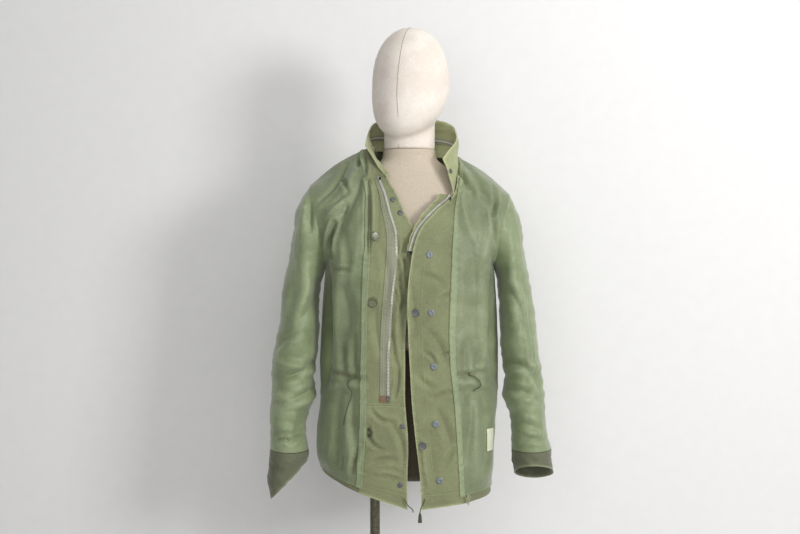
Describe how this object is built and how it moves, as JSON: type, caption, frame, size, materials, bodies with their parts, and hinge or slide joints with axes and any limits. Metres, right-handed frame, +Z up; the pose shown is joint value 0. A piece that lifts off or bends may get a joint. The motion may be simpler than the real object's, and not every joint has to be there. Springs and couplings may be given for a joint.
{
  "type": "field jacket on dress form",
  "caption": "Field jacket worn inside out and open on a plain egg-headed dress form with a pole stand; lining, facings, zip and snaps show.",
  "frame": {"origin": "centre of the base plate's underside, on the floor", "axes": "+Z up, -Y out through the jacket's open front, +X towards the viewer's right, the wearer's left"},
  "size_m": [0.634, 0.35, 1.7974],
  "materials": {
    "olive_sateen": "washed cotton sateen, soft sheen, worn pale at its edges",
    "green_lining": "thin smooth lining cloth with a satin sheen",
    "cuff_sateen": "washed cotton sateen, darker and matt",
    "zip_tape": "ribbed woven tape",
    "zip_metal": "stamped teeth, satin",
    "snap_metal": "dark enamel over brass, worn at the rims",
    "olive_plastic": "moulded, slightly glossy",
    "label_tape": "blank woven tape",
    "green_cord": "braided cotton",
    "form_cloth": "plain cotton stretched smooth",
    "stand_steel": "satin"
  },
  "bodies": {
    "garment_on_form": {"shell_back": "olive_sateen", "shell_front_left": "olive_sateen", "shell_front_right": "olive_sateen", "facing_left": "olive_sateen", "facing_left_lower": "olive_sateen", "facing_right": "olive_sateen", "fly_left": "olive_sateen", "fly_right": "olive_sateen", "hem_band_left": "olive_sateen", "hem_band_right": "olive_sateen", "collar": "olive_sateen", "lining_back": "green_lining", "lining_front_left": "green_lining", "lining_front_right": "green_lining", "sleeve_left_upper": "green_lining", "sleeve_left_under": "green_lining", "sleeve_right_upper": "green_lining", "sleeve_right_under": "green_lining", "cuff_left": "cuff_sateen", "cuff_right": "cuff_sateen", "zip_tape_left": "zip_tape", "zip_tape_right": "zip_tape", "zip_chain_left": "zip_metal", "zip_chain_right": "zip_metal", "zip_box": "snap_metal", "hood_zip_tape": "zip_tape", "hood_zip_chain": "zip_metal", "hood_zip_slider": "snap_metal", "button_left_1": "olive_plastic", "button_left_2": "olive_plastic", "button_left_3": "olive_plastic", "button_right_1": "snap_metal", "button_right_2": "snap_metal", "snap_left_1": "snap_metal", "snap_left_2": "snap_metal", "snap_left_3": "snap_metal", "snap_left_4": "snap_metal", "snap_left_5": "snap_metal", "snap_right_1": "snap_metal", "snap_right_2": "snap_metal", "snap_right_3": "snap_metal", "snap_right_4": "snap_metal", "snap_right_5": "snap_metal", "snap_collar": "snap_metal", "care_label": "label_tape", "waist_cord_left": "green_cord", "waist_cord_right": "green_cord", "hem_cord_left": "green_cord", "hem_cord_right": "green_cord", "hem_tassel": "green_cord", "form_torso": "form_cloth", "form_head": "form_cloth", "pole": "stand_steel", "base_plate": "stand_steel"},
    "pull_tab": {"hood_zip_pull": "snap_metal"}
  },
  "joints": [
    {"name": "pull_tab_hinge", "type": "hinge", "parent": "garment_on_form", "child": "pull_tab", "pos_m": [-0.07347, -0.03086, 1.52102], "axis": [0.2002, -0.804, -0.5599], "range_deg": [0, 95]}
  ]
}
